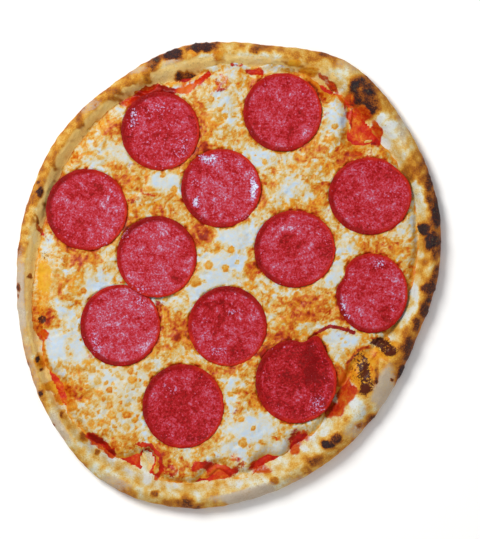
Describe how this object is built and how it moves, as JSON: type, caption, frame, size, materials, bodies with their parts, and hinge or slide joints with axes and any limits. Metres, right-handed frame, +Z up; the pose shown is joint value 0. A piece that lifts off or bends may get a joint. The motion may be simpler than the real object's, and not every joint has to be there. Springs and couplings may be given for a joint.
{
  "type": "salami pizza",
  "caption": "Whole baked pizza with a puffed, charred rim, tomato sauce, melted cheese and round salami slices; lies flat on its underside.",
  "frame": {"origin": "centre of the underside, at the middle of the bounding box", "axes": "+Z up, through the thickness; +Y along the pizza's longest way, to the top of the picture; +X to the right of the picture"},
  "size_m": [0.2978, 0.3276, 0.0206],
  "materials": {
    "crust": "baked wheat dough, matte and floury, with browned and charred spots",
    "sauce": "cooked tomato sauce, wet",
    "cheese": "melted cheese, soft gloss, with oil and browned spots",
    "salami": "oily sliced salami with fine fat specks"
  },
  "bodies": {
    "root": {"crust": "crust", "tomato_sauce": "sauce", "cheese": "cheese", "salami_01": "salami", "salami_02": "salami", "salami_03": "salami", "salami_04": "salami", "salami_05": "salami", "salami_06": "salami", "salami_07": "salami", "salami_08": "salami", "salami_09": "salami", "salami_10": "salami", "salami_11": "salami", "salami_12": "salami"}
  },
  "joints": []
}
